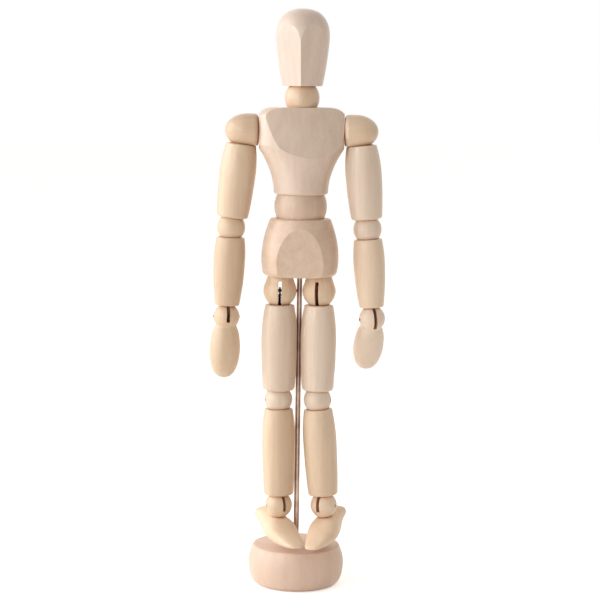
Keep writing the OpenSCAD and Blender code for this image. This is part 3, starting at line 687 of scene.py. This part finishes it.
chin_point = centre("head_turn") + Vector((0, 0, CHIN_RISE * MM))
head_place = standing(chin_point, HEAD_YAW)
verts, faces = grid(head_rings())
head = new_object("head_carved", uneven(verts, head_place, BLOCK_UNEVEN, seed=31), faces)
ridge = head_place @ Matrix.Translation((0, -RIDGE_CHIN * MM, 0)) @ Matrix.Rotation(RIDGE_LEAN, 4, "X")
cut(head, [plane_cutter(ridge @ Matrix.Rotation(turn, 4, "Z")) for turn in (FACE_ANGLE, -FACE_ANGLE)])
stand_for(head, "head", "head", "blush")


# Chest

CHEST_HEIGHT = 45.2
CHEST_CREASE = 23.8
CHEST_HALF_WIDTH = 22.2
CHEST_SIDE_ROOM = 1.0
CHEST_LOW_R = 14.3
CHEST_LOW_DEPTH = 14.0
CHEST_DEPTH = 17.5
CHEST_TOP_DEPTH = 15.2
CHEST_LOW_EDGE = 1.6
CHEST_TOP_ROUND = (8.4, 6.8, 6.0)
CHEST_FLAT_Y = 15.5
CHEST_FLAT_LEAN = math.radians(18)
CHEST_FLAT_BOW = 95.0
CHEST_FLAT_TURN = math.radians(7)
WAIST_R = 13.8
WAIST_SEAT = 6.3
NECK_RISE = 4.9


def chest_sections():
    """Height over the underside, half width, half depth and squareness of each section."""
    rows = []
    for a in np.radians(np.linspace(0, 90, 10)[:-1]):
        draw_in = CHEST_LOW_EDGE * (1 - math.sin(a))
        z = CHEST_LOW_EDGE * (1 - math.cos(a))
        rows.append((z, CHEST_LOW_R - draw_in, CHEST_LOW_DEPTH - draw_in, 2.0))
    for t in np.linspace(0, 1, 26):
        wide = CHEST_LOW_R + (CHEST_HALF_WIDTH - CHEST_LOW_R) * t**1.8
        deep = CHEST_LOW_DEPTH + (CHEST_DEPTH - CHEST_LOW_DEPTH) * t**1.2
        rows.append((CHEST_LOW_EDGE + (CHEST_CREASE - CHEST_LOW_EDGE) * t, wide, deep, 2 + 0.35 * t))
    shoulder = CHEST_HEIGHT - CHEST_TOP_ROUND[2]
    full = CHEST_HALF_WIDTH + CHEST_SIDE_ROOM
    for t in np.linspace(0.12, 1, 16):
        deep = CHEST_DEPTH - (CHEST_DEPTH - CHEST_TOP_DEPTH) * t
        rows.append((CHEST_CREASE + (shoulder - CHEST_CREASE) * t, full, deep, 2.4 + 0.1 * t))
    for a in np.radians(np.linspace(0, 90, 15)[1:]):
        back = 1 - math.cos(a)
        wide = full - CHEST_TOP_ROUND[0] * back
        deep = CHEST_TOP_DEPTH - CHEST_TOP_ROUND[1] * back
        rows.append((CHEST_HEIGHT - CHEST_TOP_ROUND[2] * (1 - math.sin(a)), wide, deep, 2.5))
    return rows


def chest_rings():
    rings = cup_rings(WAIST_R, -WAIST_SEAT, cup_rim(WAIST_R, WAIST_SEAT) - GAP)
    rings += [ring(oval_reach(a, b, squareness), z) for z, a, b, squareness in chest_sections()]
    down = cup_rings(NECK_R, 0, cup_rim(NECK_R, NECK_RISE))
    rings += [[(x, y, CHEST_HEIGHT + NECK_RISE - z) for x, y, z in row] for row in down[::-1]]
    return rings


chest_point = centre("chest_bend") + Vector((0, 0, WAIST_SEAT * MM))
chest_place = standing(chest_point)
verts, faces = grid(chest_rings())
chest = new_object("chest_carved", uneven(verts, chest_place, BLOCK_UNEVEN, seed=41), faces)
front = chest_place @ Matrix.Translation((0, -CHEST_FLAT_Y * MM, CHEST_CREASE * MM))
leaning = Matrix.Rotation(CHEST_FLAT_TURN, 4, "Z") @ Matrix.Rotation(-CHEST_FLAT_LEAN, 4, "X")
flats = [bowed_cutter(front @ leaning, CHEST_FLAT_BOW)]
for turn in (math.pi / 2, -math.pi / 2):
    side_turn = chest_place @ Matrix.Rotation(turn, 4, "Z")
    flats.append(plane_cutter(side_turn @ Matrix.Translation((0, -CHEST_HALF_WIDTH * MM, 0))))
cut(chest, flats)
stand_for(chest, "chest", "chest", "pink")


# Pelvis

PELVIS_HEIGHT = 30.2
PELVIS_WIDEST = 0.3
PELVIS_R = 20.3
PELVIS_TOP_R = 16.4
PELVIS_DEPTH = 0.86
PELVIS_DRAW_IN = 0.6
PELVIS_EDGE_LOW = 3.0
PELVIS_EDGE_TOP = 1.6
PELVIS_ROD_ROOM = 0.06
PELVIS_HOLE = 40.0
PELVIS_FLAT_Y = 13.4
PELVIS_FLAT_LEAN = math.radians(3.8)


def pelvis_rings():
    wide = PELVIS_WIDEST * PELVIS_HEIGHT
    low_r = PELVIS_R - PELVIS_DRAW_IN
    sections = []
    for a in np.radians(np.linspace(0, 90, 13)):
        z = PELVIS_EDGE_LOW * (1 - math.cos(a))
        sections.append((z, low_r - PELVIS_EDGE_LOW * (1 - math.sin(a))))
    for t in np.linspace(0, 1, 10)[1:]:
        z = PELVIS_EDGE_LOW + (wide - PELVIS_EDGE_LOW) * t
        sections.append((z, PELVIS_R - PELVIS_DRAW_IN * (1 - t) ** 2))
    rise = PELVIS_HEIGHT - PELVIS_EDGE_TOP - wide
    for t in np.linspace(0, 1, 24)[1:]:
        sections.append((wide + rise * t, PELVIS_R - (PELVIS_R - PELVIS_TOP_R) * t * t))
    for a in np.radians(np.linspace(18, 90, 9)):
        z = PELVIS_HEIGHT - PELVIS_EDGE_TOP * (1 - math.sin(a))
        sections.append((z, PELVIS_TOP_R - PELVIS_EDGE_TOP * (1 - math.cos(a))))
    rings = [ring(oval_reach(r, r * PELVIS_DEPTH), z) for z, r in sections]
    down = cup_rings(WAIST_R, 0, cup_rim(WAIST_R, WAIST_SEAT))
    rings += [[(x, y, PELVIS_HEIGHT + WAIST_SEAT - z) for x, y, z in row] for row in down[::-1]]
    return rings


pelvis_point = centre("waist_turn") - Vector((0, 0, (WAIST_SEAT + PELVIS_HEIGHT) * MM))
pelvis_place = standing(pelvis_point)
verts, faces = grid(pelvis_rings())
pelvis = new_object("pelvis_carved", uneven(verts, pelvis_place, BLOCK_UNEVEN, seed=51), faces)
front = pelvis_place @ Matrix.Translation((0, -PELVIS_FLAT_Y * MM, 0))
rod_hole = rod_cutter(Matrix.Translation((0, 0, pelvis_point.z)), ROD_R + PELVIS_ROD_ROOM, PELVIS_HOLE)
cut(pelvis, [plane_cutter(front @ Matrix.Rotation(PELVIS_FLAT_LEAN, 4, "X")), rod_hole])
stand_for(pelvis, "pelvis", "pelvis", "tan_end")


# Shoulders

SHOULDER_R = 9.3
SHOULDER_DOME_R = 8.8
SHOULDER_DOME_START = 2.4
SHOULDER_EDGE = 2.4
SHOULDER_PIN_END = 2.0
ARM_SEAT = 7.2
SLOT_WIDTH = 1.9
PIN_R = 0.8
PIN_ROOM = 0.05
ARM_SLOT_LOW = math.radians(254)
ARM_SLOT_HIGH = math.radians(374)
ARM_SLOT_ROOM = 1.65


def shoulder_outline(inner):
    points = [(0.02, -inner)]
    points += arc(SHOULDER_DOME_R - SHOULDER_EDGE, SHOULDER_EDGE - inner, SHOULDER_EDGE, -90, 0, 14)
    for a in np.radians(np.linspace(0, 90, 34)[:-1]):
        reach = (SHOULDER_R + SHOULDER_DOME_START) * math.sin(a) - SHOULDER_DOME_START
        points.append((SHOULDER_DOME_R * math.cos(a), reach))
    return points


def slot_cutter(place, low, high, room):
    """Room for a wire that swings about the place's Y from low to high, 0 being along X."""
    half = SLOT_WIDTH / 2
    turns = np.linspace(low, high, 9)
    edge = [(2 * SHOULDER_R * math.cos(a), 2 * SHOULDER_R * math.sin(a)) for a in turns]
    around = np.linspace(high + math.pi / 2, low + 3 * math.pi / 2, 12)
    edge += [(room * math.cos(a), room * math.sin(a)) for a in around]
    near, far = ([(x, y, z) for x, z in edge] for y in (-half, half))
    return prism_cutter(place, near, far)


for side, out in (("right", -1), ("left", 1)):
    shoulder = centre(f"{side}_arm_raise")
    arm = centre(f"{side}_elbow_upper") - shoulder
    mirror = Matrix.Diagonal((out, 1, 1, 1))
    place = Matrix.Translation(shoulder) @ mirror
    inner = abs(shoulder.x) / MM - CHEST_HALF_WIDTH - SEAT_GAP
    turned = [[(x, r * c, r * s) for c, s in zip(COS, SIN)] for r, x in shoulder_outline(inner)]
    verts, faces = grid(turned)
    dome = new_object(f"{side}_shoulder_turned", [place @ (Vector(v) * MM) for v in verts], faces)
    level = hanging(shoulder, shoulder + arm) @ Matrix.Translation((0, 0, (SEAT_GAP - ARM_SEAT) * MM))
    ball = ball_cutter(shoulder, SHOULDER_R)
    for part, low, high in ((dome, -FAR, 0), (ball, 0, FAR)):
        beyond = block_cutter(level, (-FAR, -FAR, low), (FAR, FAR, high))
        slot = slot_cutter(place, ARM_SLOT_LOW, ARM_SLOT_HIGH, ARM_SLOT_ROOM)
        cut(part, [beyond, slot])
    across = place @ Matrix.Rotation(math.pi / 2, 4, "X")
    cut(dome, [rod_cutter(across, PIN_R + PIN_ROOM, 2 * (SHOULDER_R - SHOULDER_PIN_END))])
    join(dome, ball)
    stand_for(dome, f"{side}_shoulder", f"{side}_shoulder", "honey_x" if side == "right" else "straw_x")


# Hands

HAND_LENGTH = 32.4
HAND_MIDDLE = 17.6
HAND_R = 8.15
HAND_FLATNESS = 0.82
HAND_BLUNT = (0.6, 0.78)
WRIST_R = 6.9
WRIST_SLOT_DEPTH = 2.5
WRIST_BLEND = 0.35
HAND_UNEVEN = 0.06
HAND_BEND = {"right": 0.0, "left": math.radians(30)}
HAND_TIP = 0.03
BEYOND_HAND = 20.0


def hand_rings():
    half = HAND_LENGTH - HAND_MIDDLE
    rings = []
    turns = np.linspace(HAND_TIP, math.pi - HAND_TIP, 72)
    for z in WRIST_R - (WRIST_R + HAND_LENGTH) * (1 - np.cos(turns)) / 2:
        forms = []
        if abs(z) < WRIST_R:
            forms.append(np.full(AROUND, math.sqrt(WRIST_R**2 - z * z)))
        along = (z + HAND_MIDDLE) / half
        if abs(along) < 1:
            r = HAND_R * math.sqrt(1 - along * along) ** HAND_BLUNT[0 if along > 0 else 1]
            forms.append(oval_reach(r, r * HAND_FLATNESS))
        reach = soft_max(forms, WRIST_BLEND) if len(forms) > 1 else forms[0]
        rings.append([(t * x, t * y, z) for t, x, y in zip(reach, COS, SIN)])
    return rings


for side in ("right", "left"):
    wrist = centre(f"{side}_wrist_swing")
    up = (centre(f"{side}_elbow_lower") - wrist).normalized()
    place = on_pin(wrist, -axis(f"{side}_wrist_swing"), up) @ Matrix.Rotation(HAND_BEND[side], 4, "X")
    verts, faces = grid(hand_rings())
    sanded = uneven(verts, place, HAND_UNEVEN, seed=61 + len(side))
    hand = new_object(f"{side}_hand_carved", sanded, faces)
    half_slot = SLOT_WIDTH / 2
    slot_low = (-half_slot, -BEYOND_HAND, -WRIST_SLOT_DEPTH)
    slot = block_cutter(place, slot_low, (half_slot, BEYOND_HAND, BEYOND_HAND))
    pin_hole = rod_cutter(place @ Matrix.Rotation(math.pi / 2, 4, "Y"), PIN_R + PIN_ROOM, 2 * BEYOND_HAND)
    cut(hand, [slot, pin_hole])
    stand_for(hand, f"{side}_hand", f"{side}_hand", "gold" if side == "right" else "milk")


# Feet

TOE = 25.5
HEEL = 19.4
FOOT_R = 7.3
SOLE = -17.9
SEAT = -6.0
FOOT_SQUARENESS = 2.5
FOOT_LEAST = 0.2
ANKLE_R = 7.1
# Each section from heel to toe: place along the foot, half width, underside, top, step to the outer side
FOOT_SECTIONS = [
    (HEEL, 1.8, SOLE + 9.0, SEAT - 2.2, 0.0),
    (HEEL - 0.4, 3.3, SOLE + 8.3, SEAT - 1.2, 0.1),
    (HEEL - 1.4, 4.8, SOLE + 7.4, SEAT - 0.3, 0.2),
    (HEEL - 3.4, 6.1, SOLE + 6.2, SEAT + 0.6, 0.2),
    (HEEL - 6.0, 6.6, SOLE + 5.0, SEAT + 1.3, 0.0),
    (HEEL - 8.8, 6.6, SOLE + 3.5, SEAT + 1.5, 0.0),
    (HEEL - 11.6, FOOT_R - 0.6, SOLE + 1.6, SEAT + 1.2, 0.0),
    (HEEL - 14.6, FOOT_R - 0.4, SOLE, SEAT + 0.6, 0.2),
    (0.0, FOOT_R - 0.2, SOLE - 0.7, SEAT, 0.5),
    (-0.2 * TOE, FOOT_R, SOLE - 0.7, SEAT - 0.4, 0.8),
    (-0.36 * TOE, FOOT_R - 0.2, SOLE - 0.5, SEAT - 2.0, 0.9),
    (-0.52 * TOE, FOOT_R - 0.8, SOLE - 0.3, SEAT - 4.2, 0.7),
    (-0.68 * TOE, FOOT_R - 1.5, SOLE - 0.1, SEAT - 6.0, 0.5),
    (-0.80 * TOE, FOOT_R - 2.2, SOLE + 0.2, SEAT - 7.2, 0.3),
    (-0.89 * TOE, FOOT_R - 2.9, SOLE + 0.6, SEAT - 8.0, 0.2),
    (-0.95 * TOE, FOOT_R - 3.8, SOLE + 0.9, SEAT - 8.6, 0.1),
    (-0.985 * TOE, FOOT_R - 5.0, SOLE + 1.4, SEAT - 9.2, 0.0),
    (-TOE, FOOT_R - 6.8, SOLE + 2.1, SEAT - 9.7, 0.0),
]
FOOT_TURN = {"right": math.radians(-3), "left": math.radians(9)}


def foot_rings(outer):
    """outer is 1 or -1: the side of the foot's own X that lies away from the other foot."""
    rings = []
    for y, half, low, top, step in smooth_rows(FOOT_SECTIONS, 5):
        thick = max((top - low) / 2, FOOT_LEAST)
        reach = oval_reach(max(half + step, FOOT_LEAST), thick, FOOT_SQUARENESS)
        middle = (top + low) / 2
        rings.append([(outer * step + t * x, y, middle + t * s) for t, x, s in zip(reach, COS, SIN)])
    return rings


for side in ("right", "left"):
    ankle = centre(f"{side}_ankle_swing")
    up = axis(f"{side}_ankle_turn") * (1 if side == "left" else -1)
    place = on_pin(ankle, -axis(f"{side}_ankle_swing"), up) @ Matrix.Rotation(FOOT_TURN[side], 4, "Z")
    verts, faces = grid(foot_rings(math.copysign(1, place.col[0].x * ankle.x)))
    foot = new_object(f"{side}_foot_carved", [place @ (Vector(v) * MM) for v in verts], faces)
    cut(foot, [ball_cutter(ankle, ANKLE_R + GAP)])
    stand_for(foot, f"{side}_foot", f"{side}_foot", "butter_y")


# Wire tails wound round the shanks that show in the hips' slots

TAIL_R = 0.33
TAIL_WIND_R = 0.57
TAIL_PITCH = 0.85
TAIL_TOP = 1.9
TAIL_LOW = 11.0
TAIL_STEPS = 26
TAIL_SIDES = 12


def wound_tail():
    turns = (TAIL_LOW - TAIL_TOP) / TAIL_PITCH
    round_wire = np.linspace(0, 2 * math.pi, TAIL_SIDES, endpoint=False)
    up = np.array((0, 0, 1))
    rings = []
    for t in np.linspace(0, 1, int(turns * TAIL_STEPS)):
        a = 2 * math.pi * turns * t
        out = np.array((math.cos(a), math.sin(a), 0))
        middle = TAIL_WIND_R * out - (TAIL_TOP + (TAIL_LOW - TAIL_TOP) * t) * up
        rings.append([middle + TAIL_R * (math.cos(b) * out + math.sin(b) * up) for b in round_wire])
    return rings


for side in ("right", "left"):
    place = hanging(centre(f"{side}_hip_swing"), centre(f"{side}_knee_upper"))
    verts, faces = grid(wound_tail())
    tail = new_object(f"{side}_thigh_wire_tail", [place @ (Vector(v) * MM) for v in verts], faces)
    tail.data.materials.append(materials["wire"])
    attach(tail, f"{side}_thigh")


# Nodes that show as they are

NODE_WOOD = {"waist": "dusk", "neck": "amber"}
for side in ("right", "left"):
    NODE_WOOD[f"{side}_elbow"] = "amber" if side == "right" else "pale"
    NODE_WOOD[f"{side}_hip_ball"] = "gold" if side == "right" else "straw"
    NODE_WOOD[f"{side}_knee"] = "pale"
    NODE_WOOD[f"{side}_ankle"] = "gold" if side == "right" else "cream"

for name, node in frame["nodes"].items():
    if node.hide_render:
        continue
    if name in NODE_WOOD:
        key = NODE_WOOD[name]
    elif name == "rod":
        key = "rod"
    elif name.endswith(("knee_pin", "elbow_pin", "ankle_pin")):
        key = "pin_end"
    elif name.endswith(("pin", "pins")):
        key = "pin"
    else:
        key = "wire"
    node.data.materials.clear()
    node.data.materials.append(materials[key])


# Floor, light and camera

FLOOR_COLOUR = (0.92, 0.91, 0.9, 1)
FLOOR_GLOW = 0.55
FLOOR_R = 6.0
FLOOR_DROP = 0.0002
WHITE = (1, 1, 1, 1)


def floor_material():
    """White floor that keeps the object's shadow."""
    n = Nodes("floor")
    n.shader.inputs["Base Color"].default_value = FLOOR_COLOUR
    n.shader.inputs["Roughness"].default_value = 0.9
    path = n.add("LightPath")
    seen = n.math("MAXIMUM", path.outputs["Is Camera Ray"], path.outputs["Is Glossy Ray"])
    seen = n.math("MAXIMUM", seen, path.outputs["Is Transmission Ray"])
    n.shader.inputs["Emission Color"].default_value = WHITE
    n.set(n.shader.inputs["Emission Strength"], n.math("MULTIPLY", seen, FLOOR_GLOW))
    return n.material


def fill_floor(work):
    bmesh.ops.create_circle(work, cap_ends=True, segments=96, radius=FLOOR_R)


floor = shaped("floor", Matrix.Translation((0, 0, -FLOOR_DROP)), fill_floor)
floor.data.materials.append(floor_material())

# Light from all round: its middle strength, how it grows along X and Y, and its tint
WORLD_LIGHT = 0.54
WORLD_SLOPE = (0.16, 0.42, 0.0)
WORLD_TINT = (1.0, 0.9, 0.8, 1)
world = bpy.data.worlds.new("studio")
bpy.context.scene.world = world
world.use_nodes = True
tree = world.node_tree
backdrop = tree.nodes["Background"]
way = tree.nodes.new("ShaderNodeTexCoord")
slope = tree.nodes.new("ShaderNodeVectorMath")
slope.operation = "DOT_PRODUCT"
tree.links.new(way.outputs["Generated"], slope.inputs[0])
slope.inputs[1].default_value = WORLD_SLOPE
around = tree.nodes.new("ShaderNodeMath")
around.inputs[1].default_value = WORLD_LIGHT
tree.links.new(slope.outputs["Value"], around.inputs[0])
path = tree.nodes.new("ShaderNodeLightPath")
seen = tree.nodes.new("ShaderNodeMath")
seen.operation = "MAXIMUM"
tree.links.new(path.outputs["Is Camera Ray"], seen.inputs[0])
tree.links.new(path.outputs["Is Glossy Ray"], seen.inputs[1])
level = tree.nodes.new("ShaderNodeMapRange")
tree.links.new(around.outputs[0], level.inputs["To Min"])
level.inputs["To Max"].default_value = 1.0
tree.links.new(seen.outputs[0], level.inputs["Value"])
tree.links.new(level.outputs[0], backdrop.inputs["Strength"])
tint = tree.nodes.new("ShaderNodeMix")
tint.data_type = "RGBA"
tint.inputs[6].default_value = WORLD_TINT
tint.inputs[7].default_value = WHITE
tree.links.new(seen.outputs[0], tint.inputs[0])
tree.links.new(tint.outputs[2], backdrop.inputs["Color"])


FIGURE_MIDDLE = Vector((0, 0, 0.16))


def lamp(name, place, size, power):
    """White round lamp that looks at the middle of the figure."""
    data = bpy.data.lights.new(name, "AREA")
    data.shape = "DISK"
    data.size = size
    data.energy = power
    obj = bpy.data.objects.new(name, data)
    obj.location = place
    obj.rotation_euler = (FIGURE_MIDDLE - Vector(place)).to_track_quat("-Z", "Y").to_euler()
    bpy.context.scene.collection.objects.link(obj)


lamp("key", (-1.3, -0.05, 0.62), size=1.2, power=13.8)
lamp("fill", (-0.8, -1.02, 0.5), size=0.6, power=5.5)

CAMERA_PLACE = (0.0, -1.0, 0.275)
CAMERA_PITCH = math.radians(6.98)
CAMERA_ROLL = math.radians(0.8)
CAMERA_ACROSS = math.radians(17.9)
IMAGE_SIDE = 600
AXIS_LEFT_OF_MIDDLE = 0.65

camera_data = bpy.data.cameras.new("camera")
camera_data.sensor_fit = "HORIZONTAL"
camera_data.angle = CAMERA_ACROSS
camera_data.shift_x = AXIS_LEFT_OF_MIDDLE / IMAGE_SIDE
camera = bpy.data.objects.new("camera", camera_data)
aim = Matrix.Rotation(math.pi / 2 - CAMERA_PITCH, 4, "X") @ Matrix.Rotation(CAMERA_ROLL, 4, "Z")
camera.matrix_world = Matrix.Translation(CAMERA_PLACE) @ aim
bpy.context.scene.collection.objects.link(camera)
bpy.context.scene.camera = camera
bpy.context.scene.view_settings.view_transform = "Standard"
